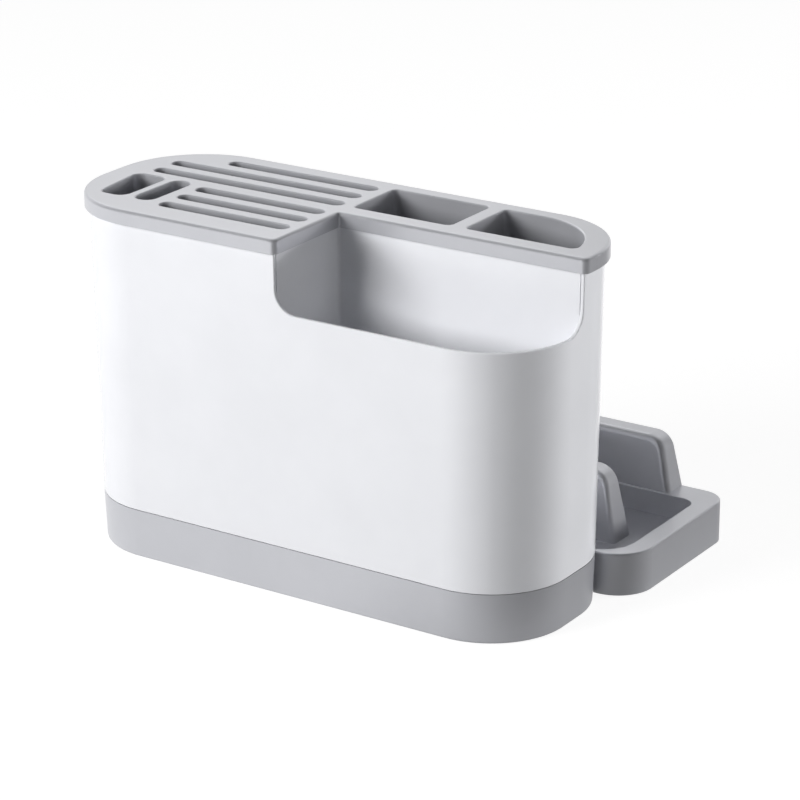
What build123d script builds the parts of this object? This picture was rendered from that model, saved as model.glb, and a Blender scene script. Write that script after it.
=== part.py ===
"""Knife and utensil holder with a detachable rack for boards and lids.

The holder is a white oblong shell with half-round corners.  It stands in a grey
drip tray and carries a grey cover with six knife slots, two small openings for
scissors and a sharpener, and two cutlery pockets.  The front right quarter of the
cover is missing, so that the deep utensil bay is open there.  A grey rack hooks
under the back of the drip tray.

Millimetres, +Z up, +X to the right and +Y to the back.  The origin lies on the
surface that the holder stands on, under the middle of the whole footprint.  Depths
and widths below are measured from the middle of the shell.
"""
import os
from math import asin, degrees, radians, tan

from build123d import *

# Shell: the white body, measured outside at its foot; its walls lean out by body_flare at the top
body_length = 298.0
body_depth = 113.0
body_flare = 2.35
body_corner = 47.0
body_wall = 2.4
body_floor = 2.4
body_floor_height = 12.0
shoulder_height = 3.0
rim_round = 0.8

# Drip tray under the shell
tray_height = 29.2
tray_draft = 1.0
tray_wall = 2.4
tray_floor = 2.5
tray_edge_round = 1.5

# Cover on the shell
cover_top = 206.0
cover_plate = 2.6
cover_skirt_height = 8.5
cover_skirt_wall = 2.4
cover_edge_round = 1.9
cover_nose_round = 3.5
cover_nose_least = 0.5
cover_inner_corner_round = 1.0
notch_x = -0.1
notch_y = -1.5

# Openings of the cover, clear of the round that runs along their edges
opening_round = 1.0
collar_wall = 1.6
collar_depth = 25.0
slot_width = 8.5
slot_lip_wall = 1.2
slot_lip_depth = 6.0
slot_back_margin = 13.25
slot_front_margin = 19.55
slot_right_rim = 6.7
slot_bank_gap = 2.4
rear_short_margin = 44.65
rear_long_margin = 16.75
front_slot_margin = 59.85
scissor_right_margin = 34.05
scissor_front_width = 17.0
scissor_back_width = 21.6
small_opening_margin = 19.35
small_opening_land = 10.9
small_opening_corner = 6.0
sharpener_left_margin = 39.55
sharpener_width = 12.5
pocket_front_rim = 12.1
pocket_left_rim = 0.9
pocket_corner = 3.5
pocket_length = 62.2
pocket_gap = 9.5
pocket_back_rim = 9.65
pocket_end_rim = 13.95
pocket_end_radius = 44.0

# Opening in the front of the shell, below the missing quarter of the cover
mouth_height = 164.4
mouth_corner = 13.0

# Partition inside the shell
partition_wall = 2.2
partition_corner = 2.0
tongue_length = 20.0
guide_rib_width = 2.0
guide_rib_depth = 3.0

# Drain holes in the floor of the shell
drain_hole = 5.0
drain_pitch = 15.0
drain_margin = 8.0

# Blade guide that hangs under the cover
guide_height = 120.0
guide_plate = 2.4
guide_inset = 4.0
guide_slot_width = 6.0
guide_edge_round = 2.0
leg_length = 14.0
leg_thickness = 2.2
leg_end_margin = 13.0
leg_middle_margin = 70.0
leg_front_margin = 10.0
leg_back_margin = 4.9
leg_corner_margin = 10.5
socket_wall = 1.4
socket_depth = 8.0

# Rack behind the holder
rack_overhang = 13.0
rack_wrap = 16.2
rack_reach = 95.8
rack_height = 25.2
rack_front_corner = 22.0
rack_back_corner = 14.0
rack_wall = 2.4
rack_nest_wall = 1.8
rack_floor_height = 11.0
rack_edge_round = 1.2
basin_edge_round = 0.5
basin_end_rim = 11.5
basin_back_rim = 18.0
basin_front_corner = 19.5
basin_back_corner = 8.5
upstand_height = 56.5
upstand_end_margin = 26.3
upstand_end_slope = 14.5
upstand_corner = 11.0
upstand_top_depth = 12.8
upstand_edge_round = 4.0
divider_distance = 59.2
divider_height = 52.0
divider_end_margin = 35.5
divider_foot_depth = 19.0
divider_top_depth = 13.0
divider_end_slope = 12.2
divider_corner = 12.0
divider_edge_round = 3.0
hook_length = 12.0
hook_width = 30.0
hook_thickness = 2.4
hook_spread = 120.0

# Rubber feet
foot_height = 0.5
foot_thickness = 1.5
foot_diameter = 12.0
foot_clearance = 0.1
foot_boss_wall = 1.6
foot_end_margin = 45.0
foot_side_margin = 24.5
rack_foot_end_margin = 32.0
rack_foot_back_margin = 29.8
rack_foot_spread = 45.0

# Clearances
lift_gap = 0.3
seam_gap = 0.4
slide_gap = 0.4
snug_gap = 0.1

# Turn between two square directions
quarter_turn = 90.0

# Sizes that follow from the ones above
rack_length = body_length + 2 * rack_overhang
rack_front = body_depth / 2 - rack_wrap
rack_back = body_depth / 2 + rack_reach
basin_length = rack_length - 2 * basin_end_rim
basin_back = rack_back - basin_back_rim
divider_y = rack_back - divider_distance
foot_spread_x = body_length - 2 * foot_end_margin
foot_spread_y = body_depth - 2 * foot_side_margin
rack_foot_spread_x = rack_length - 2 * rack_foot_end_margin
rack_foot_middle = rack_back - rack_foot_back_margin - rack_foot_spread / 2
body_bottom = tray_height + seam_gap
body_top = cover_top - cover_plate - lift_gap
cover_overhang = cover_skirt_wall + lift_gap
rim_length = body_length + 2 * body_flare
rim_depth = body_depth + 2 * body_flare
cover_length = rim_length + 2 * cover_overhang
cover_depth = rim_depth + 2 * cover_overhang
cover_corner = body_corner + body_flare + cover_overhang
plate_underside = cover_top - cover_plate
skirt_bottom = cover_top - cover_skirt_height
mouth_x = notch_x - cover_overhang
mouth_y = notch_y + cover_overhang
spigot_inset = tray_wall + lift_gap
spigot_inner_inset = spigot_inset + body_wall
shoulder_top = body_bottom + shoulder_height
floor_top = body_floor_height + body_floor
bay_half_depth = body_depth / 2 - body_wall
bay_half_length = body_length / 2 - body_wall
hook_bottom = foot_height + seam_gap
hook_top = hook_bottom + hook_thickness
pocket_roof = hook_top + lift_gap
shell_y = (cover_depth / 2 - rack_back) / 2
pocket_left = notch_x + pocket_left_rim
pocket_front = notch_y + pocket_front_rim
pocket_middle = pocket_left + pocket_length + pocket_gap / 2
rib_top = cover_top - collar_depth - socket_depth
left_tongue = (mouth_x - partition_wall / 2, -body_depth / 4)
back_tongue = (body_length / 4, mouth_y + partition_wall / 2)

# Two banks of three slots, the rear bank further from the front one than a pitch
bank_slots = 3
slot_span = rim_depth - slot_back_margin - slot_front_margin - slot_bank_gap
slot_pitch = slot_span / (2 * bank_slots - 1)
rear_row = rim_depth / 2 - slot_back_margin
front_row = slot_front_margin - rim_depth / 2
slot_right_end = notch_x - slot_right_rim
rear_short_slot = slot_right_end + rim_length / 2 - rear_short_margin
rear_long_slot = slot_right_end + rim_length / 2 - rear_long_margin
front_slot = slot_right_end + rim_length / 2 - front_slot_margin
scissor_right = scissor_right_margin - rim_length / 2
sharpener_left = sharpener_left_margin - rim_length / 2
small_opening_front = small_opening_margin - rim_depth / 2
small_opening_back = rear_row - (bank_slots - 1) * slot_pitch - small_opening_land

# Slots of the cover as row and length, from the back row to the front one
slots = [
    (rear_row, rear_short_slot),
    (rear_row - slot_pitch, rear_long_slot),
    (rear_row - 2 * slot_pitch, rear_long_slot),
    (front_row + 2 * slot_pitch, front_slot),
    (front_row + slot_pitch, front_slot),
    (front_row, front_slot),
]

# Legs of the blade guide, each on a land between or beside the slots
middle_land = (rear_row + front_row) / 2
front_leg_y = front_row - leg_front_margin
legs = [
    (slot_right_end - leg_end_margin, rear_row - slot_pitch / 2),
    (slot_right_end - leg_end_margin, front_leg_y),
    (slot_right_end - leg_middle_margin, middle_land),
    (slot_right_end - front_slot - leg_corner_margin / 2, front_leg_y),
    (slot_right_end - rear_short_slot - leg_corner_margin, rear_row - leg_back_margin),
]


def level(height):
    """Level plane whose own origin is over the middle of the shell."""
    return Plane((0, shell_y, height))


def oblong(inset):
    """Plan of the shell, set in all round by inset."""
    with BuildSketch() as plan:
        RectangleRounded(body_length - 2 * inset, body_depth - 2 * inset, body_corner - inset)
    return plan.sketch


def shell_space(inset, low):
    """Space inside the shell from the level low up, set in by inset from its outer faces."""
    lean = body_flare / (body_top - body_bottom)
    with BuildPart() as space:
        with BuildSketch(level(low)):
            add(oblong(inset - lean * (low - body_bottom)))
        with BuildSketch(level(body_top)):
            add(oblong(inset - body_flare))
        loft()
    return space.part


def cover_plan(inset):
    """Plan of the cover without its front right quarter, set in all round by inset."""
    edge_x = notch_x - inset
    edge_y = notch_y + inset
    with BuildSketch() as plan:
        RectangleRounded(cover_length - 2 * inset, cover_depth - 2 * inset, cover_corner - inset)
        with Locations((edge_x, edge_y)):
            Rectangle(cover_length, cover_depth, align=(Align.MIN, Align.MAX), mode=Mode.SUBTRACT)
        on_notch = plan.vertices().filter_by(
            lambda v: abs(v.X - edge_x) < 1e-3 or abs(v.Y - edge_y) < 1e-3
        )
        inner = on_notch.sort_by_distance(Vector(edge_x, edge_y))[0]
        noses = on_notch.filter_by(lambda v: (v.center() - inner.center()).length > 1)
        fillet(noses, max(cover_nose_round - inset, cover_nose_least))
        inner = plan.vertices().sort_by_distance(Vector(edge_x, edge_y))[0]
        fillet(inner, cover_inner_corner_round + inset)
    return plan.sketch


def slot_plan(row, length, width, grow):
    """One knife slot with round ends; grow widens it all round."""
    with BuildSketch() as plan:
        with Locations((slot_right_end - length / 2, row)):
            SlotOverall(length + 2 * grow, width + 2 * grow)
    return plan.sketch


def scissor_plan(grow):
    """Opening for scissors, whose left side leans with the end of the cover."""
    with BuildSketch() as plan:
        with BuildLine():
            Polyline(
                (scissor_right, small_opening_front),
                (scissor_right, small_opening_back),
                (scissor_right - scissor_back_width, small_opening_back),
                (scissor_right - scissor_front_width, small_opening_front),
                close=True,
            )
        make_face()
        fillet(plan.vertices(), small_opening_corner)
        if grow:
            offset(amount=grow, kind=Kind.ARC)
    return plan.sketch


def sharpener_plan(grow):
    """Opening for a sharpening steel, beside the one for scissors."""
    middle = (sharpener_left + sharpener_width / 2, (small_opening_front + small_opening_back) / 2)
    long_side = small_opening_back - small_opening_front
    corner = min(small_opening_corner, sharpener_width / 2 - snug_gap)
    with BuildSketch() as plan:
        with Locations(middle):
            RectangleRounded(sharpener_width + 2 * grow, long_side + 2 * grow, corner + grow)
    return plan.sketch


def left_pocket_plan(grow):
    """Cutlery pocket next to the knives."""
    pocket_back = cover_depth / 2 - pocket_back_rim
    middle = (pocket_left + pocket_length / 2, (pocket_front + pocket_back) / 2)
    with BuildSketch() as plan:
        with Locations(middle):
            RectangleRounded(
                pocket_length + 2 * grow, pocket_back - pocket_front + 2 * grow, pocket_corner + grow
            )
    return plan.sketch


def right_pocket_plan(grow):
    """Cutlery pocket at the end, whose back corner follows the end of the cover."""
    left = pocket_left + pocket_length + pocket_gap
    back = cover_depth / 2 - pocket_back_rim
    arc_x = cover_length / 2 - pocket_end_rim - pocket_end_radius
    arc_y = back - pocket_end_radius
    start = degrees(asin((pocket_front - arc_y) / pocket_end_radius))
    with BuildSketch() as plan:
        with BuildLine():
            end = CenterArc((arc_x, arc_y), pocket_end_radius, start, quarter_turn - start)
            Polyline(end @ 1, (left, back), (left, pocket_front), end @ 0)
        make_face()
        corners = plan.vertices().filter_by(lambda v: v.X < left + 1 or v.Y < pocket_front + 1)
        fillet(corners, pocket_corner)
        if grow:
            offset(amount=grow, kind=Kind.ARC)
    return plan.sketch


def pocket_plans(grow):
    """The four openings that have a deep collar."""
    return [scissor_plan(grow), sharpener_plan(grow), left_pocket_plan(grow), right_pocket_plan(grow)]


def slot_plans(width, grow):
    """The six knife slots."""
    return [slot_plan(row, length, width, grow) for row, length in slots]


def rack_plan(inset, nest_inset):
    """Plan of the rack: a tray that wraps round the back of the holder."""
    half = rack_length / 2 - inset
    front = rack_front + inset
    back = rack_back - inset
    nest = slide_gap + nest_inset
    with BuildSketch() as plan:
        with Locations((0, (front + back) / 2)):
            Rectangle(2 * half, back - front)
        fillet(plan.vertices().group_by(Axis.Y)[0], rack_front_corner - inset)
        fillet(plan.vertices().group_by(Axis.Y)[-1], max(rack_back_corner - inset, 1.0))
        RectangleRounded(
            body_length + 2 * nest, body_depth + 2 * nest, body_corner + nest, mode=Mode.SUBTRACT
        )
    return plan.sketch


def basin_plan(grow):
    """Plan of the basin in the rack, grown all round by grow."""
    half = basin_length / 2 + grow
    front = rack_front + rack_wall - grow
    back = basin_back + grow
    nest = slide_gap + rack_nest_wall - grow
    with BuildSketch() as plan:
        with Locations((0, (front + back) / 2)):
            Rectangle(2 * half, back - front)
        fillet(plan.vertices().group_by(Axis.Y)[0], basin_front_corner + grow)
        fillet(plan.vertices().group_by(Axis.Y)[-1], basin_back_corner + grow)
        RectangleRounded(
            body_length + 2 * nest, body_depth + 2 * nest, body_corner + nest, mode=Mode.SUBTRACT
        )
    return plan.sketch


def inside_oblong(x, y, inset):
    """Whether a point lies in the plan of the shell, set in by inset."""
    corner = body_corner - inset
    past_x = max(abs(x) - (body_length / 2 - body_corner), 0)
    past_y = max(abs(y) - (body_depth / 2 - body_corner), 0)
    return past_x**2 + past_y**2 <= corner**2


def drain_spots(left, right, front, back):
    """Middles of the drain holes of one bay, in a square grid inside its walls."""
    across = max(int((right - left - 2 * drain_margin) // drain_pitch) + 1, 1)
    deep = max(int((back - front - 2 * drain_margin) // drain_pitch) + 1, 1)
    middle = Location(((left + right) / 2, (front + back) / 2))
    spots = []
    for spot in GridLocations(drain_pitch, drain_pitch, across, deep):
        place = (middle * spot).position
        if inside_oblong(place.X, place.Y, spigot_inner_inset + tray_draft + drain_margin / 2):
            spots.append((place.X, place.Y))
    return spots


def upright_wall(foot_length, end_slope, corner, top, inset, front_foot, front_top, back_foot, back_top):
    """Upright wall of the rack, or its hollow where inset is the wall.

    Its ends lean by end_slope and its top corners are round.  The other values are
    the places of its broad faces at its foot and at its top.
    """
    foot = rack_floor_height - inset
    high = top - inset
    half_foot = foot_length / 2 - inset
    half_top = half_foot - (high - foot) * tan(radians(end_slope))
    with BuildPart() as wall:
        with BuildSketch(Plane.XZ) as front_view:
            with BuildLine():
                Polyline(
                    (-half_foot, foot), (half_foot, foot), (half_top, high), (-half_top, high), close=True
                )
            make_face()
            fillet(front_view.vertices().group_by(Axis.Y)[-1], max(corner - inset, 1.0))
        extrude(amount=rack_back + rack_length, both=True)
        with BuildSketch(Plane((0, shell_y, 0), x_dir=(0, 1, 0), z_dir=(1, 0, 0))):
            with BuildLine():
                Polyline(
                    (front_foot + inset, foot),
                    (back_foot - inset, foot),
                    (back_top - inset, high),
                    (front_top + inset, high),
                    close=True,
                )
            make_face()
        extrude(amount=rack_length, both=True, mode=Mode.INTERSECT)
    return wall.part


def upstand(inset):
    """Back wall of the rack, or its hollow where inset is the wall."""
    front_top = rack_back - upstand_top_depth
    return upright_wall(
        rack_length - 2 * upstand_end_margin, upstand_end_slope, upstand_corner, upstand_height, inset,
        basin_back, front_top, rack_back, rack_back,
    )


def divider(inset):
    """Middle wall of the rack, or its hollow where inset is the wall."""
    half_top = divider_top_depth / 2
    half_foot = divider_foot_depth / 2
    return upright_wall(
        rack_length - 2 * divider_end_margin, divider_end_slope, divider_corner, divider_height, inset,
        divider_y - half_foot, divider_y - half_top, divider_y + half_foot, divider_y + half_top,
    )


# Ribs in the shell that hold the partition, as middle, width and depth
rib_root = body_wall + body_flare
rib_middle_y = bay_half_depth + (rib_root - guide_rib_depth) / 2
rib_middle_x = bay_half_length + (rib_root - guide_rib_depth) / 2
rib_offset = snug_gap + guide_rib_width / 2
rib_size = (guide_rib_width, guide_rib_depth + rib_root)
guide_ribs = [
    (mouth_x - partition_wall - rib_offset, -rib_middle_y, *rib_size),
    (mouth_x - partition_wall - rib_offset, rib_middle_y, *rib_size),
    (mouth_x + rib_offset, rib_middle_y, *rib_size),
    (pocket_middle - partition_wall / 2 - rib_offset, rib_middle_y, *rib_size),
    (pocket_middle + partition_wall / 2 + rib_offset, rib_middle_y, *rib_size),
    (rib_middle_x, mouth_y + partition_wall + rib_offset, *reversed(rib_size)),
]

# Drain holes of the knife bay, the utensil bay and the two cutlery bays
drain_holes = (
    drain_spots(-bay_half_length, mouth_x - partition_wall, -bay_half_depth, bay_half_depth)
    + drain_spots(mouth_x, bay_half_length, -bay_half_depth, mouth_y)
    + drain_spots(mouth_x, pocket_middle, mouth_y + partition_wall, bay_half_depth)
    + drain_spots(pocket_middle, bay_half_length, mouth_y + partition_wall, bay_half_depth)
)

# Drip tray
with BuildPart() as drip_tray:
    with BuildSketch(level(foot_height)):
        add(oblong(tray_draft))
    with BuildSketch(level(tray_height)):
        add(oblong(0))
    loft()
    fillet(drip_tray.faces().sort_by(Axis.Z)[0].edges(), tray_edge_round)
    with BuildSketch(level(foot_height + tray_floor)):
        add(oblong(tray_draft + tray_wall))
    with BuildSketch(level(tray_height)):
        add(oblong(tray_wall))
    loft(mode=Mode.SUBTRACT)
    # Raised floor over the two pockets that take the hooks of the rack
    pocket_wall = tray_wall + slide_gap
    with BuildSketch(level(foot_height + tray_floor)):
        with Locations((0, body_depth / 2 - tray_wall)):
            with GridLocations(hook_spread, 1, 2, 1):
                Rectangle(
                    hook_width + 2 * pocket_wall, hook_length + tray_wall, align=(Align.CENTER, Align.MAX)
                )
    extrude(amount=pocket_roof + tray_wall - foot_height - tray_floor)
    with BuildSketch(level(foot_height)):
        with Locations((0, body_depth / 2 - hook_length)):
            with GridLocations(hook_spread, 1, 2, 1):
                Rectangle(
                    hook_width + 2 * slide_gap, hook_length + tray_wall, align=(Align.CENTER, Align.MIN)
                )
    extrude(amount=pocket_roof - foot_height, mode=Mode.SUBTRACT)
    with BuildSketch(level(foot_height)):
        with GridLocations(foot_spread_x, foot_spread_y, 2, 2):
            Circle(foot_diameter / 2 + foot_clearance)
    extrude(amount=foot_thickness - foot_height + foot_clearance, mode=Mode.SUBTRACT)

# Rubber feet of the drip tray
with BuildPart() as tray_feet:
    with BuildSketch(level(0)):
        with GridLocations(foot_spread_x, foot_spread_y, 2, 2):
            Circle(foot_diameter / 2)
    extrude(amount=foot_thickness)

# Space that is missing from the front wall of the shell, below the missing quarter of the cover
with BuildPart() as mouth:
    with Locations((mouth_x, shell_y + mouth_y, mouth_height)):
        Box(body_length, body_depth, body_top, align=(Align.MIN, Align.MAX, Align.MIN))
    lower_edges = mouth.faces().sort_by(Axis.Z)[0].edges()
    left_edge = lower_edges.filter_by(Axis.Y).sort_by(Axis.X)[0]
    right_edge = lower_edges.filter_by(Axis.X).sort_by(Axis.Y)[-1]
    fillet([left_edge, right_edge], mouth_corner)

# Ribs in the shell that hold the upright edges of the partition
with BuildPart() as ribs:
    with BuildSketch(level(shoulder_top)):
        for x, y, wide, deep in guide_ribs:
            with Locations((x, y)):
                Rectangle(wide, deep)
    extrude(amount=rib_top - shoulder_top)
    add(shell_space(body_wall / 2, shoulder_top), mode=Mode.INTERSECT)

# Shell
with BuildPart() as shell:
    add(shell_space(0, body_bottom))
    with BuildSketch(level(body_floor_height)):
        add(oblong(spigot_inset + tray_draft))
    with BuildSketch(level(body_bottom)):
        add(oblong(spigot_inset))
    loft()
    with BuildSketch(level(floor_top)):
        add(oblong(spigot_inner_inset + tray_draft))
    extrude(amount=body_top - floor_top, mode=Mode.SUBTRACT)
    add(shell_space(body_wall, shoulder_top), mode=Mode.SUBTRACT)
    add(mouth.part, mode=Mode.SUBTRACT)
    mouth_edges = shell.edges().filter_by(
        lambda e: mouth_height - 1 < e.center().Z < body_top - 1
        and e.center().Y < shell_y + mouth_y + 1
    )
    fillet(mouth_edges, rim_round)
    add(ribs.part)
    # Slots for the tongues of the partition
    with BuildSketch(level(body_floor_height)):
        with Locations(left_tongue):
            Rectangle(partition_wall + 2 * snug_gap, tongue_length + 2 * snug_gap)
        with Locations(back_tongue):
            Rectangle(tongue_length + 2 * snug_gap, partition_wall + 2 * snug_gap)
    extrude(amount=body_floor, mode=Mode.SUBTRACT)
    # Drain holes of the four bays
    with BuildSketch(level(body_floor_height)):
        with Locations(*drain_holes):
            Circle(drain_hole / 2)
    extrude(amount=body_floor, mode=Mode.SUBTRACT)

# Partition: a cross of thin walls that makes the knife bay, the utensil bay and two cutlery bays
def partition_plan(corner):
    """Plan of the partition; corner rounds it where its faces meet in the utensil bay."""
    with BuildSketch() as plan:
        with Locations((mouth_x, 0)):
            Rectangle(partition_wall, rim_depth, align=(Align.MAX, Align.CENTER))
        with Locations((mouth_x - partition_wall, mouth_y)):
            Rectangle(body_length, partition_wall, align=(Align.MIN, Align.MIN))
        with Locations((pocket_middle, mouth_y)):
            Rectangle(partition_wall, body_depth, align=(Align.CENTER, Align.MIN))
        if corner:
            fillet(plan.vertices().sort_by_distance(Vector(mouth_x, mouth_y))[0], corner)
    return plan.sketch


with BuildPart() as partition:
    with BuildSketch(level(shoulder_top + snug_gap)):
        add(partition_plan(partition_corner))
    extrude(amount=skirt_bottom - lift_gap - shoulder_top - snug_gap)
    # Beside the skirt of the cover the corner is left square
    with BuildSketch(level(skirt_bottom - lift_gap)):
        add(partition_plan(0))
    extrude(amount=body_top - skirt_bottom + lift_gap)
    add(shell_space(body_wall + snug_gap, shoulder_top + snug_gap), mode=Mode.INTERSECT)
    with BuildSketch(level(floor_top)):
        add(partition_plan(partition_corner))
        add(oblong(spigot_inner_inset + tray_draft + snug_gap), mode=Mode.INTERSECT)
    extrude(amount=shoulder_top + snug_gap - floor_top)
    with BuildSketch(level(body_floor_height)):
        with Locations(left_tongue):
            Rectangle(partition_wall, tongue_length)
        with Locations(back_tongue):
            Rectangle(tongue_length, partition_wall)
    extrude(amount=body_floor)

# Cover
with BuildPart() as cover:
    with BuildSketch(level(skirt_bottom)):
        add(cover_plan(0))
    extrude(amount=cover_skirt_height)
    fillet(cover.faces().sort_by(Axis.Z)[-1].edges(), cover_edge_round)
    with BuildSketch(level(skirt_bottom)):
        add(cover_plan(cover_skirt_wall))
    extrude(amount=plate_underside - skirt_bottom, mode=Mode.SUBTRACT)
    with BuildSketch(level(cover_top - collar_depth)):
        for pocket in pocket_plans(collar_wall):
            add(pocket)
    extrude(amount=collar_depth - cover_plate / 2)
    with BuildSketch(level(cover_top - slot_lip_depth)):
        for slot in slot_plans(slot_width, slot_lip_wall):
            add(slot)
    extrude(amount=slot_lip_depth - cover_plate / 2)
    with BuildSketch(level(plate_underside - socket_depth)):
        with Locations(*legs):
            Rectangle(
                leg_length + 2 * (snug_gap + socket_wall), leg_thickness + 2 * (snug_gap + socket_wall)
            )
    extrude(amount=socket_depth + cover_plate / 2)
    with BuildSketch(level(plate_underside - socket_depth)):
        with Locations(*legs):
            Rectangle(leg_length + 2 * snug_gap, leg_thickness + 2 * snug_gap)
    extrude(amount=socket_depth, mode=Mode.SUBTRACT)
    with BuildSketch(level(cover_top - collar_depth)):
        for opening in pocket_plans(0) + slot_plans(slot_width, 0):
            add(opening)
    extrude(amount=collar_depth, mode=Mode.SUBTRACT)
    top_face = cover.faces().sort_by(Axis.Z)[-1]
    opening_edges = [edge for wire in top_face.inner_wires() for edge in wire.edges()]
    fillet(opening_edges, opening_round)

# Blade guide: a slotted plate on legs, plugged into sockets under the cover
with BuildPart() as blade_guide:
    with BuildSketch(level(guide_height)) as guide_plan:
        add(oblong(body_wall + guide_inset))
        with Locations((mouth_x - partition_wall - guide_inset, 0)):
            Rectangle(body_length, body_depth, align=(Align.MIN, Align.CENTER), mode=Mode.SUBTRACT)
        fillet(guide_plan.vertices().group_by(Axis.X)[-1], guide_edge_round)
        for opening in [scissor_plan(0), sharpener_plan(0)] + slot_plans(guide_slot_width, 0):
            add(opening, mode=Mode.SUBTRACT)
    extrude(amount=guide_plate)
    with BuildSketch(level(guide_height)):
        with Locations(*legs):
            Rectangle(leg_length, leg_thickness)
    extrude(amount=plate_underside - lift_gap - guide_height)

# Rack: upright walls for boards and lids, on a tray that is hollow below
with BuildPart() as upstand_block:
    add(upstand(0))
    front_rim = upstand_block.faces().sort_by(Axis.Y)[0].edges()
    fillet(front_rim.filter_by(lambda e: e.center().Z > rack_floor_height + 1), upstand_edge_round)
    back_rim = upstand_block.faces().sort_by(Axis.Y)[-1].edges()
    fillet(back_rim.filter_by(lambda e: e.center().Z > rack_floor_height + 1), rack_edge_round)

with BuildPart() as divider_block:
    add(divider(0))
    broad_faces = divider_block.faces().sort_by(Axis.Y)
    both_rims = broad_faces[0].edges() + broad_faces[-1].edges()
    fillet(both_rims.filter_by(lambda e: e.center().Z > rack_floor_height + 1), divider_edge_round)

with BuildPart() as rack:
    with BuildSketch(level(foot_height)) as outline:
        with Locations((0, (rack_front + rack_back) / 2)):
            Rectangle(rack_length, rack_back - rack_front)
        fillet(outline.vertices().group_by(Axis.Y)[0], rack_front_corner)
        fillet(outline.vertices().group_by(Axis.Y)[-1], rack_back_corner)
    extrude(amount=rack_height - foot_height)
    fillet(rack.faces().sort_by(Axis.Z)[-1].edges(), rack_edge_round)
    with BuildSketch(level(foot_height)):
        add(oblong(-slide_gap))
    extrude(amount=rack_height, mode=Mode.SUBTRACT)
    with BuildSketch(level(rack_floor_height)):
        add(basin_plan(0))
    extrude(amount=rack_height, mode=Mode.SUBTRACT)
    basin_edges = rack.faces().sort_by(Axis.Z)[-1].inner_wires()[0].edges()
    fillet(basin_edges, basin_edge_round)
    add(upstand_block.part)
    add(divider_block.part)
    # Hollow underside: below the floor, inside the rim and inside both upright walls
    with BuildSketch(level(foot_height)):
        add(rack_plan(rack_wall, rack_nest_wall))
    extrude(amount=rack_floor_height - rack_wall - foot_height, mode=Mode.SUBTRACT)
    with BuildSketch(level(foot_height)):
        add(rack_plan(rack_wall, rack_nest_wall))
        add(basin_plan(rack_wall), mode=Mode.SUBTRACT)
    extrude(amount=rack_height - rack_wall - foot_height, mode=Mode.SUBTRACT)
    add(upstand(rack_wall), mode=Mode.SUBTRACT)
    add(divider(rack_wall), mode=Mode.SUBTRACT)
    # Seats of the feet
    with BuildSketch(level(foot_height)):
        with Locations((0, rack_foot_middle)):
            with GridLocations(rack_foot_spread_x, rack_foot_spread, 2, 2):
                Circle(foot_diameter / 2 + foot_clearance + foot_boss_wall)
    extrude(amount=rack_floor_height - rack_wall / 2 - foot_height)
    with BuildSketch(level(foot_height)):
        with Locations((0, rack_foot_middle)):
            with GridLocations(rack_foot_spread_x, rack_foot_spread, 2, 2):
                Circle(foot_diameter / 2 + foot_clearance)
    extrude(amount=foot_thickness - foot_height + foot_clearance, mode=Mode.SUBTRACT)
    # Hooks that slide under the drip tray
    with BuildSketch(level(hook_bottom)):
        with Locations((0, body_depth / 2 + slide_gap + rack_nest_wall / 2)):
            with GridLocations(hook_spread, 1, 2, 1):
                Rectangle(
                    hook_width, hook_length + rack_nest_wall / 2, align=(Align.CENTER, Align.MAX)
                )
    extrude(amount=hook_thickness)

# Rubber feet of the rack
with BuildPart() as rack_feet:
    with BuildSketch(level(0)):
        with Locations((0, rack_foot_middle)):
            with GridLocations(rack_foot_spread_x, rack_foot_spread, 2, 2):
                Circle(foot_diameter / 2)
    extrude(amount=foot_thickness)

pieces = {
    "drip_tray": drip_tray,
    "drip_tray_feet": tray_feet,
    "body_shell": shell,
    "bay_partition": partition,
    "cover": cover,
    "blade_guide": blade_guide,
    "rear_rack": rack,
    "rear_rack_feet": rack_feet,
}
os.makedirs("parts", exist_ok=True)
for name, piece in pieces.items():
    piece.part.label = name
    export_step(piece.part, f"parts/{name}.step")
    print(name, len(piece.part.solids()), "solid", round(piece.part.volume / 1000, 1), "cm3")
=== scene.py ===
"""Knife and utensil holder: finishes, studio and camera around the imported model.

The object is moulded plastic throughout, so every piece keeps its moulded form and
gets its finish here.  Lengths are in metres unless a name says otherwise.
"""
import logging
import math
from dataclasses import dataclass
from enum import Enum
from typing import Any

import bpy
from mathutils import Matrix, Vector


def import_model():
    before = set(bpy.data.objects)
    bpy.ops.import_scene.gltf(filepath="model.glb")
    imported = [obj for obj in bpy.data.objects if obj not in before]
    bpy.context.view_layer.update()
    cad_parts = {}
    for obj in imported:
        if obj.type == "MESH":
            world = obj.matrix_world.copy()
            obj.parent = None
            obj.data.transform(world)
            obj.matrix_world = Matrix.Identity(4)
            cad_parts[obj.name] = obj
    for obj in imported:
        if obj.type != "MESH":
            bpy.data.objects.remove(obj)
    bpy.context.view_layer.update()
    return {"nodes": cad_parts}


LOG = logging.getLogger("holder")
MM = 0.001
WHITE = "#FFFFFF"
# Spans of the cloud noise, which seldom leaves them, over which the tint and gloss change
TINT_SPAN = (0.35, 0.65)
GLOSS_SPAN = (0.3, 0.7)
# The sRGB curve: its straight part below the knee and its power above it
SRGB_KNEE = 0.04045
SRGB_SLOPE = 12.92
SRGB_OFFSET = 0.055
SRGB_POWER = 2.4


class Slot(Enum):
    """Material slots of the record."""

    WHITE = "white_plastic"
    GREY = "grey_plastic"
    RUBBER = "foot_rubber"


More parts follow.
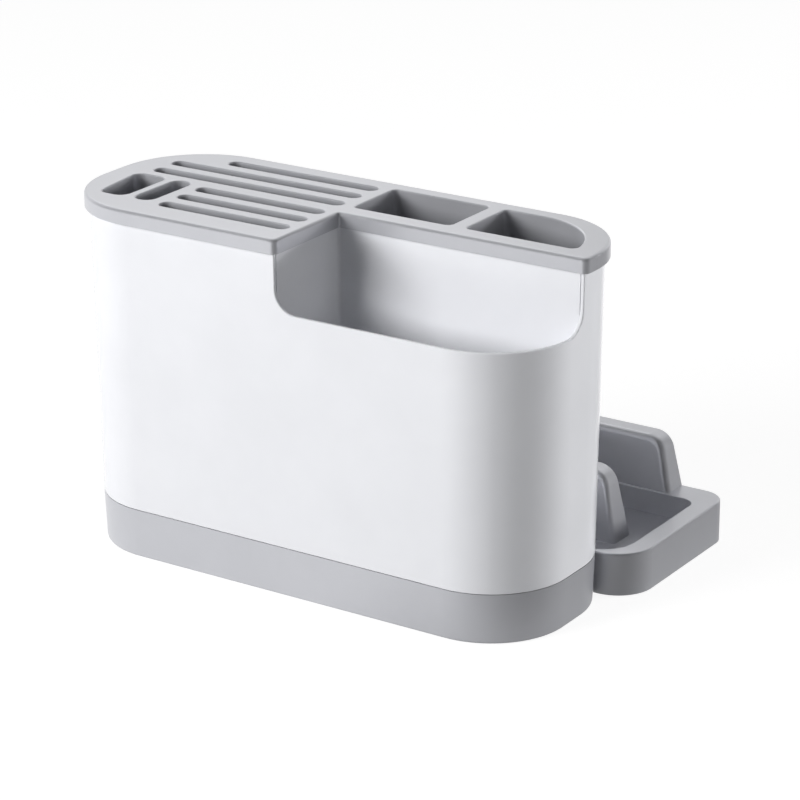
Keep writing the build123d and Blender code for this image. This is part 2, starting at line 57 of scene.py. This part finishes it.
def linear(hex_colour: str) -> tuple[float, float, float, float]:
    """Turn an sRGB hex colour into the linear colour that the shaders take.

    Args:
        hex_colour: Six hex digits with a leading hash.

    Returns:
        Linear red, green, blue and an alpha of one.
    """
    def channel(pair: str) -> float:
        value = int(pair, 16) / 255
        if value <= SRGB_KNEE:
            return value / SRGB_SLOPE
        return ((value + SRGB_OFFSET) / (1 + SRGB_OFFSET)) ** SRGB_POWER

    digits = hex_colour.lstrip("#")
    return (channel(digits[0:2]), channel(digits[2:4]), channel(digits[4:6]), 1.0)


def add_node(
    material: bpy.types.Material | bpy.types.World,
    kind: str,
    settings: dict[str, Any] | None = None,
    links: dict[Any, bpy.types.NodeSocket] | None = None,
) -> bpy.types.Node:
    """Add one node to the tree of a material or a world.

    Args:
        material: The material or world whose tree takes the node.
        kind: The node's type name.
        settings: Values for its attributes or, where it has no such attribute, its inputs.
        links: Sockets of other nodes for its inputs, by input name or number.

    Returns:
        The new node.
    """
    node = material.node_tree.nodes.new(kind)
    for name, value in (settings or {}).items():
        if isinstance(name, str) and hasattr(node, name):
            setattr(node, name, value)
        else:
            node.inputs[name].default_value = value
    for name, socket in (links or {}).items():
        material.node_tree.links.new(socket, node.inputs[name])
    return node


def blank_material(name: str) -> tuple[bpy.types.Material, bpy.types.Node]:
    """Make an empty node material.

    Args:
        name: The material's name.

    Returns:
        The material and its output node.
    """
    material = bpy.data.materials.new(name)
    material.use_nodes = True
    material.node_tree.nodes.clear()
    return material, add_node(material, "ShaderNodeOutputMaterial")


@dataclass(frozen=True)
class MouldedPlastic:
    """Injection-moulded plastic with the fine unevenness that the mould leaves.

    A wide, very shallow waviness bends long reflections a little, as sink marks and
    flow do on thin walls, and a fine grain breaks up their edges.
    """

    name: str
    colour: str
    shade_colour: str
    roughness: float
    rougher: float
    metallic: float = 0.0
    ior: float = 1.49
    wave_mm: float = 60.0
    wave_depth_mm: float = 0.05
    grain_mm: float = 0.6
    grain_depth_mm: float = 0.004
    cloud_mm: float = 45.0

    def make(self) -> bpy.types.Material:
        """Build the material.

        Returns:
            The material, on Object coordinates.
        """
        material, output = blank_material(self.name)
        place = add_node(material, "ShaderNodeTexCoord").outputs["Object"]
        cloud = add_node(
            material, "ShaderNodeTexNoise",
            {"Scale": 1 / (self.cloud_mm * MM), "Detail": 3.0, "Roughness": 0.55},
            {"Vector": place},
        )
        tint = add_node(material, "ShaderNodeValToRGB", links={"Fac": cloud.outputs["Fac"]})
        stops = zip(tint.color_ramp.elements, TINT_SPAN, (self.shade_colour, self.colour))
        for stop, position, colour in stops:
            stop.position = position
            stop.color = linear(colour)
        gloss = add_node(
            material, "ShaderNodeMapRange",
            {
                "From Min": GLOSS_SPAN[0], "From Max": GLOSS_SPAN[1],
                "To Min": self.roughness, "To Max": self.rougher,
            },
            {"Value": cloud.outputs["Fac"]},
        )
        wave = add_node(
            material, "ShaderNodeTexNoise",
            {"Scale": 1 / (self.wave_mm * MM), "Detail": 1.0},
            {"Vector": place},
        )
        grain = add_node(
            material, "ShaderNodeTexNoise",
            {"Scale": 1 / (self.grain_mm * MM), "Detail": 2.0},
            {"Vector": place},
        )
        wavy = add_node(
            material, "ShaderNodeBump",
            {"Strength": 1.0, "Distance": self.wave_depth_mm * MM},
            {"Height": wave.outputs["Fac"]},
        )
        grainy = add_node(
            material, "ShaderNodeBump",
            {"Strength": 1.0, "Distance": self.grain_depth_mm * MM},
            {"Height": grain.outputs["Fac"], "Normal": wavy.outputs["Normal"]},
        )
        shader = add_node(
            material, "ShaderNodeBsdfPrincipled", {"IOR": self.ior, "Metallic": self.metallic},
            {
                "Base Color": tint.outputs["Color"],
                "Roughness": gloss.outputs["Result"],
                "Normal": grainy.outputs["Normal"],
            },
        )
        material.node_tree.links.new(shader.outputs["BSDF"], output.inputs["Surface"])
        return material


@dataclass(frozen=True)
class StagePaint:
    """Matt white board that glows for the camera and for reflections alone.

    The glow lifts it to white where the lamps reach it, and the share that the lamps
    give still darkens in the holder's shadow.  Reflections see it dimmer on the right.
    """

    name: str = "studio_floor"
    colour: str = "#898989"
    glow: float = 0.88
    bright_to_m: float = 0.02
    dim_from_m: float = 0.2
    dim_share: float = 0.1

    def make(self) -> bpy.types.Material:
        """Build the material.

        Returns:
            The floor's material.
        """
        material, output = blank_material(self.name)
        path = add_node(material, "ShaderNodeLightPath")
        place = add_node(material, "ShaderNodeTexCoord").outputs["Object"]
        parts = add_node(material, "ShaderNodeSeparateXYZ", links={"Vector": place})
        side = add_node(
            material, "ShaderNodeMapRange",
            {
                "From Min": self.bright_to_m, "From Max": self.dim_from_m,
                "To Min": 1.0, "To Max": self.dim_share,
            },
            {"Value": parts.outputs["X"]},
        )
        mirrored = add_node(
            material, "ShaderNodeMath", {"operation": "MULTIPLY"},
            {0: path.outputs["Is Glossy Ray"], 1: side.outputs["Result"]},
        )
        seen = add_node(
            material, "ShaderNodeMath", {"operation": "MAXIMUM"},
            {0: path.outputs["Is Camera Ray"], 1: mirrored.outputs["Value"]},
        )
        strength = add_node(
            material, "ShaderNodeMath", {"operation": "MULTIPLY", 1: self.glow},
            {0: seen.outputs["Value"]},
        )
        glow = add_node(
            material, "ShaderNodeEmission", {"Color": linear(WHITE)},
            {"Strength": strength.outputs["Value"]},
        )
        board = add_node(material, "ShaderNodeBsdfDiffuse", {"Color": linear(self.colour)})
        both = add_node(
            material, "ShaderNodeAddShader",
            links={0: glow.outputs["Emission"], 1: board.outputs["BSDF"]},
        )
        material.node_tree.links.new(both.outputs["Shader"], output.inputs["Surface"])
        return material


FINISHES: dict[Slot, MouldedPlastic] = {
    Slot.WHITE: MouldedPlastic("glossy_white_plastic", "#F1F2F6", "#EEEFF3", 0.10, 0.14),
    Slot.GREY: MouldedPlastic(
        "silver_grey_plastic", "#C8C9CE", "#C4C5CA", 0.28, 0.34, metallic=0.5, wave_depth_mm=0.03,
        grain_mm=0.8, grain_depth_mm=0.008,
    ),
    Slot.RUBBER: MouldedPlastic(
        "moulded_foot_rubber", "#6C6D6F", "#666769", 0.6, 0.7, ior=1.52, wave_depth_mm=0.02,
        grain_mm=0.9, grain_depth_mm=0.03,
    ),
}


@dataclass(frozen=True)
class SubAssembly:
    """Pieces of the holder that come off together."""

    name: str
    pieces: dict[str, Slot]

    def dress(
        self, nodes: dict[str, bpy.types.Object], materials: dict[Slot, bpy.types.Material],
    ) -> None:
        """Give each piece its finish.

        Args:
            nodes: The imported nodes' objects by name.
            materials: The finishes' materials.
        """
        for name, slot in self.pieces.items():
            mesh = nodes[name].data
            mesh.materials.clear()
            mesh.materials.append(materials[slot])
            LOG.info("%s of the %s gets %s", name, self.name, slot.value)


@dataclass(frozen=True)
class Holder:
    """The whole holder: its four sub-assemblies."""

    base: SubAssembly = SubAssembly(
        "base", {"drip_tray": Slot.GREY, "drip_tray_feet": Slot.RUBBER},
    )
    shell: SubAssembly = SubAssembly(
        "shell", {"body_shell": Slot.WHITE, "bay_partition": Slot.WHITE},
    )
    cover: SubAssembly = SubAssembly("cover", {"cover": Slot.GREY, "blade_guide": Slot.GREY})
    rack: SubAssembly = SubAssembly(
        "rack", {"rear_rack": Slot.GREY, "rear_rack_feet": Slot.RUBBER},
    )

    def finish(self, nodes: dict[str, bpy.types.Object]) -> None:
        """Dress every piece.

        Args:
            nodes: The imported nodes' objects by name.
        """
        materials = {slot: plastic.make() for slot, plastic in FINISHES.items()}
        for part in (self.base, self.shell, self.cover, self.rack):
            part.dress(nodes, materials)


@dataclass
class Camera:
    """Camera at the photograph's place, for a square frame."""

    target_mm: tuple[float, float, float] = (34.91, -40.78, 103.38)
    azimuth_deg: float = 33.31
    elevation_deg: float = 20.25
    roll_deg: float = -0.17
    distance_mm: float = 1711.3
    sensor_mm: float = 36.0
    lens_mm: float = 141.24
    clip_near_m: float = 0.05
    clip_far_m: float = 50.0

    def place(self) -> bpy.types.Object:
        """Make the camera and set it as the scene's.

        Returns:
            The camera object.
        """
        azimuth = math.radians(self.azimuth_deg)
        elevation = math.radians(self.elevation_deg)
        forward = Vector((
            -math.sin(azimuth) * math.cos(elevation),
            math.cos(azimuth) * math.cos(elevation),
            -math.sin(elevation),
        ))
        data = bpy.data.cameras.new("camera")
        data.sensor_width = self.sensor_mm
        data.lens = self.lens_mm
        data.clip_start = self.clip_near_m
        data.clip_end = self.clip_far_m
        camera = bpy.data.objects.new("camera", data)
        bpy.context.scene.collection.objects.link(camera)
        camera.rotation_mode = "QUATERNION"
        turn = forward.to_track_quat("-Z", "Y").to_matrix().to_4x4()
        roll = Matrix.Rotation(math.radians(self.roll_deg), 4, "Z")
        camera.rotation_quaternion = (turn @ roll).to_quaternion()
        camera.location = (Vector(self.target_mm) - forward * self.distance_mm) * MM
        bpy.context.scene.camera = camera
        return camera


@dataclass(frozen=True)
class Lamp:
    """One rectangular soft light that points at the holder.

    A lamp that isn't mirrored lights the holder but doesn't show in its reflections.
    """

    name: str
    place_m: tuple[float, float, float]
    width_m: float
    height_m: float
    watts: float
    mirrored: bool = True
    aim_m: tuple[float, float, float] = (0.0, -0.04, 0.1)

    def place(self) -> bpy.types.Object:
        """Make the lamp.

        Returns:
            The lamp object.
        """
        data = bpy.data.lights.new(self.name, "AREA")
        data.shape = "RECTANGLE"
        data.size = self.width_m
        data.size_y = self.height_m
        data.energy = self.watts
        lamp = bpy.data.objects.new(self.name, data)
        bpy.context.scene.collection.objects.link(lamp)
        lamp.location = self.place_m
        towards = Vector(self.aim_m) - Vector(self.place_m)
        lamp.rotation_mode = "QUATERNION"
        lamp.rotation_quaternion = towards.to_track_quat("-Z", "Y")
        lamp.visible_glossy = self.mirrored
        return lamp


@dataclass
class Studio:
    """White floor, soft lamps, and a world that is white behind the holder.

    The camera sees the world as plain white.  Reflections see it white behind and dim in
    front and to the right, and it gives only a little even light.
    """

    floor_m: float = 60.0
    even_light: float = 0.05
    dim_front: float = 0.1
    dim_right: float = 0.1
    front_to_back: tuple[float, float] = (-0.5, 0.3)
    left_to_right: tuple[float, float] = (0.1, 0.5)
    lamps: tuple[Lamp, ...] = (
        Lamp("key_left", (-1.08, -1.95, 0.92), 1.4, 0.8, 49.0, mirrored=False),
        Lamp("key_glint", (-1.08, -1.95, 0.92), 1.4, 0.8, 12.0),
        Lamp("side_right", (2.10, -0.41, 0.55), 0.8, 0.6, 5.0, mirrored=False),
        Lamp("fill_right", (1.59, 1.47, 0.40), 1.2, 0.5, 38.0, mirrored=False),
        Lamp("top_back", (-1.05, 1.05, 1.25), 1.0, 1.0, 2.5),
    )

    def build(self) -> None:
        """Make the floor, the lamps and the world."""
        bpy.ops.object.select_all(action="DESELECT")
        bpy.ops.mesh.primitive_plane_add(size=self.floor_m)
        floor = bpy.context.object
        floor.name = "floor"
        floor.data.materials.append(StagePaint().make())
        for lamp in self.lamps:
            lamp.place()
        self.make_world()

    def make_world(self) -> None:
        """Make the world's light."""
        world = bpy.data.worlds.new("studio")
        bpy.context.scene.world = world
        world.use_nodes = True
        world.node_tree.nodes.clear()
        output = add_node(world, "ShaderNodeOutputWorld")
        towards = add_node(world, "ShaderNodeTexCoord").outputs["Generated"]
        parts = add_node(world, "ShaderNodeSeparateXYZ", links={"Vector": towards})
        behind = add_node(
            world, "ShaderNodeMapRange",
            {
                "From Min": self.front_to_back[0], "From Max": self.front_to_back[1],
                "To Min": self.dim_front, "To Max": 1.0,
            },
            {"Value": parts.outputs["Y"]},
        )
        left = add_node(
            world, "ShaderNodeMapRange",
            {
                "From Min": self.left_to_right[0], "From Max": self.left_to_right[1],
                "To Min": 1.0, "To Max": self.dim_right,
            },
            {"Value": parts.outputs["X"]},
        )
        white = add_node(
            world, "ShaderNodeMath", {"operation": "MULTIPLY"},
            {0: behind.outputs["Result"], 1: left.outputs["Result"]},
        )
        path = add_node(world, "ShaderNodeLightPath")
        mirrored = add_node(
            world, "ShaderNodeMix", {"data_type": "FLOAT", 2: self.even_light},
            {0: path.outputs["Is Glossy Ray"], 3: white.outputs["Value"]},
        )
        seen = add_node(
            world, "ShaderNodeMix", {"data_type": "FLOAT", 3: 1.0},
            {0: path.outputs["Is Camera Ray"], 2: mirrored.outputs[0]},
        )
        back = add_node(
            world, "ShaderNodeBackground", {"Color": linear(WHITE)},
            {"Strength": seen.outputs[0]},
        )
        world.node_tree.links.new(back.outputs["Background"], output.inputs["Surface"])


def main() -> None:
    """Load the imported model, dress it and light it."""
    logging.basicConfig(level=logging.INFO)
    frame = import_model()
    Holder().finish(frame["nodes"])
    Studio().build()
    Camera().place()
    bpy.context.scene.view_settings.view_transform = "Standard"


if __name__ == "__main__":
    main()
